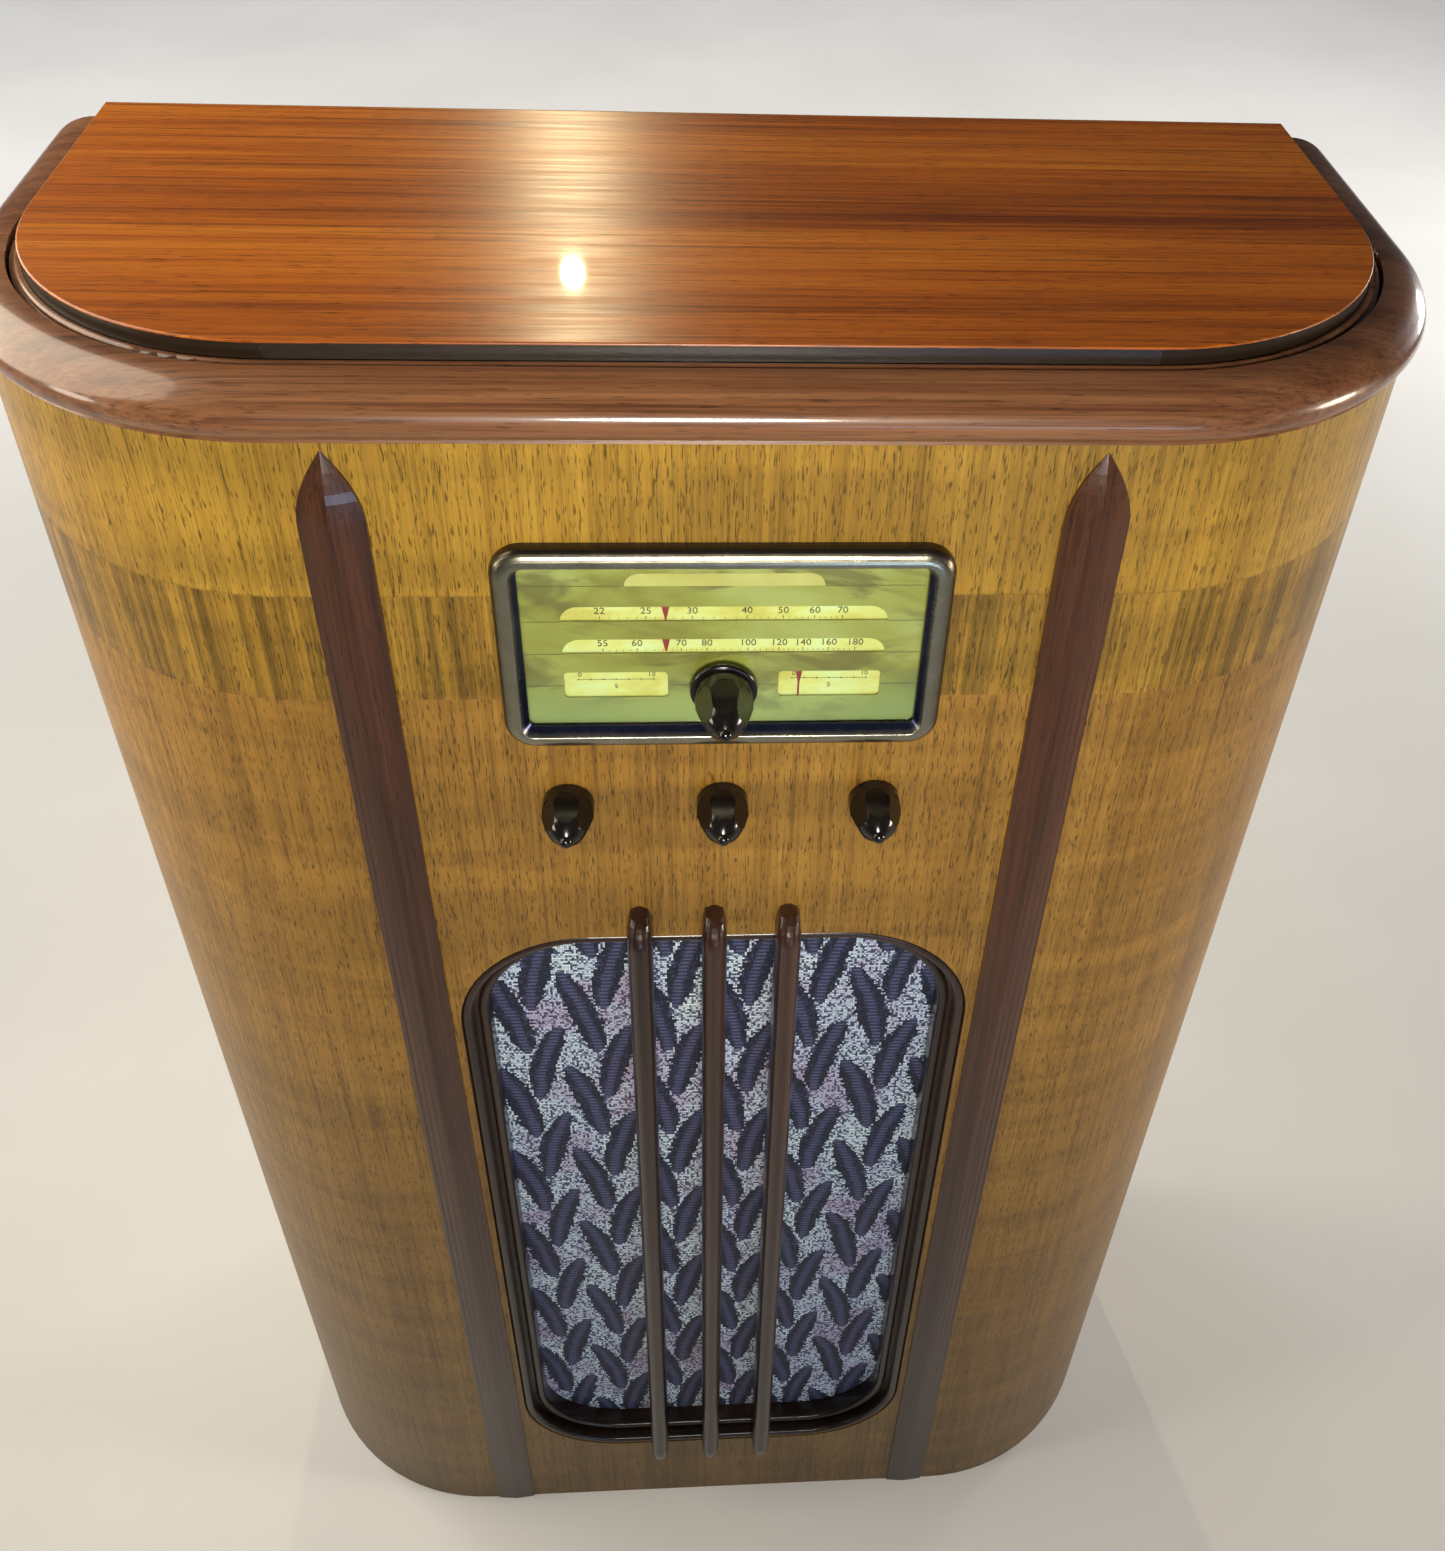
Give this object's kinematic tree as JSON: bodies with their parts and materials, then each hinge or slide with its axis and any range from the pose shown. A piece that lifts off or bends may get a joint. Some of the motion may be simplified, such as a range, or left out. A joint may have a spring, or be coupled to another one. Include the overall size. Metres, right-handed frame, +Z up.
{
  "type": "console radio",
  "caption": "Floor-standing console radio with a bent-ply cabinet, slide-rule dial, bullet knobs and a tall cloth-covered speaker grille.",
  "frame": {"origin": "centre of the cabinet plan, on the underside it stands on", "axes": "+Z up, +X to the right seen from the front, the front faces -Y"},
  "size_m": [0.646, 0.3008, 0.99],
  "materials": {
    "walnut_veneer": "satin lacquer",
    "softwood": "bare sawn",
    "plywood": "bare",
    "mahogany_trim": "gloss lacquer",
    "top_veneer": "gloss lacquer",
    "dark_trim": "gloss lacquer",
    "grille_fabric": "woven",
    "bronze": "antiqued",
    "dial_glass": "clear",
    "dial_olive": "satin print",
    "dial_cream": "translucent",
    "pointer_red": "satin",
    "plated_steel": "cadmium plated",
    "brass": "turned",
    "bakelite": "polished",
    "paxolin": "laminated",
    "wood_pulley": "turned",
    "cord": "braided",
    "lead_braid": "braided",
    "aluminium": "stamped",
    "bulb_glass": "clear",
    "tube_glass": "clear",
    "black_steel": "japanned",
    "grey_steel": "painted",
    "paper_cone": "pressed felted"
  },
  "bodies": {
    "cabinet": {"cabinet_wrap": "walnut_veneer", "bottom_board": "softwood", "corner_blocks": "softwood", "chassis_shelf": "plywood", "cap_moulding": "mahogany_trim", "top_panel": "top_veneer", "left_pilaster": "mahogany_trim", "right_pilaster": "mahogany_trim", "grille_moulding": "dark_trim", "grille_bar_left": "dark_trim", "grille_bar_centre": "dark_trim", "grille_bar_right": "dark_trim", "baffle_battens": "softwood", "speaker_baffle": "plywood", "grille_cloth": "grille_fabric", "dial_escutcheon": "bronze", "dial_glass": "dial_glass", "dial_mask": "dial_olive", "dial_scale": "dial_cream", "pointer_rails": "plated_steel", "dial_bracket": "plated_steel", "shaft_bushings": "brass", "potentiometers": "grey_steel", "band_switch": "paxolin", "dial_cord": "cord", "control_cords": "cord", "capacitor_stator": "aluminium", "capacitor_frame": "plated_steel", "dial_lamps": "bulb_glass", "chassis_pan": "plated_steel", "chassis_bolts": "plated_steel", "power_transformer": "black_steel", "tube_sockets": "bakelite", "metal_tubes": "black_steel", "glass_tubes": "tube_glass", "coil_cans": "aluminium", "filter_capacitors": "aluminium", "speaker_basket": "grey_steel", "field_magnet": "black_steel", "output_transformer": "grey_steel", "speaker_bolts": "plated_steel", "speaker_lead": "lead_braid", "rear_terminals": "paxolin"},
    "tuning": {"tuning_shaft": "plated_steel", "tuning_knob": "bakelite"},
    "tuning_carriage": {"tuning_pointer": "pointer_red"},
    "pulley_left": {"idler_left": "wood_pulley"},
    "pulley_right": {"idler_right": "wood_pulley"},
    "gang": {"dial_drum": "plated_steel", "capacitor_rotor": "aluminium"},
    "volume": {"volume_shaft": "plated_steel", "volume_knob": "bakelite"},
    "volume_carriage": {"volume_pointer": "pointer_red"},
    "band": {"band_shaft": "plated_steel", "band_knob": "bakelite"},
    "tone": {"tone_shaft": "plated_steel", "tone_knob": "bakelite"},
    "tone_carriage": {"tone_pointer": "pointer_red"},
    "cone": {"speaker_cone": "paper_cone"}
  },
  "joints": [
    {"name": "tuning_turn", "type": "hinge", "parent": "cabinet", "child": "tuning", "pos_m": [0.0018, -0.132, 0.838], "axis": [0, 1, 0], "range_deg": [-450, 1010]},
    {"name": "tuning_travel", "type": "slide", "parent": "cabinet", "child": "tuning_carriage", "axis": [1, 0, 0], "range_m": [-0.03947, 0.08834]},
    {"name": "gang_turn", "type": "hinge", "parent": "cabinet", "child": "gang", "pos_m": [0.14, -0.132, 0.866], "axis": [0, 1, 0], "range_deg": [-55.48, 124.28]},
    {"name": "pulley_left_turn", "type": "hinge", "parent": "cabinet", "child": "pulley_left", "pos_m": [-0.096, -0.132, 0.902], "axis": [0, 1, 0], "range_deg": [-376, 842.7]},
    {"name": "pulley_right_turn", "type": "hinge", "parent": "cabinet", "child": "pulley_right", "pos_m": [0.185, -0.132, 0.902], "axis": [0, 1, 0], "range_deg": [-376, 842.7]},
    {"name": "volume_turn", "type": "hinge", "parent": "cabinet", "child": "volume", "pos_m": [-0.0697, -0.132, 0.7665], "axis": [0, 1, 0], "range_deg": [0, 300]},
    {"name": "volume_travel", "type": "slide", "parent": "cabinet", "child": "volume_carriage", "axis": [1, 0, 0], "range_m": [-0.0002, 0.0412]},
    {"name": "band_turn", "type": "hinge", "parent": "cabinet", "child": "band", "pos_m": [0.0018, -0.132, 0.7665], "axis": [0, 1, 0], "range_deg": [0, 60]},
    {"name": "tone_turn", "type": "hinge", "parent": "cabinet", "child": "tone", "pos_m": [0.0733, -0.132, 0.7665], "axis": [0, 1, 0], "range_deg": [-38, 254]},
    {"name": "tone_travel", "type": "slide", "parent": "cabinet", "child": "tone_carriage", "axis": [1, 0, 0], "range_m": [-0.0054, 0.0349]},
    {"name": "cone_travel", "type": "slide", "parent": "cabinet", "child": "cone", "axis": [0, 1, 0], "range_m": [-0.0015, 0.0015], "stiffness_N_per_m": 2500}
  ],
  "couplings": [
    {"joint": "tuning_travel", "follows": "tuning_turn", "m_per_rad": 0.005},
    {"joint": "gang_turn", "follows": "tuning_turn", "ratio": 0.12285},
    {"joint": "pulley_left_turn", "follows": "tuning_turn", "ratio": 0.83333},
    {"joint": "pulley_right_turn", "follows": "tuning_turn", "ratio": 0.83333},
    {"joint": "volume_travel", "follows": "volume_turn", "m_per_rad": 0.00783},
    {"joint": "tone_travel", "follows": "tone_turn", "m_per_rad": 0.00783}
  ]
}
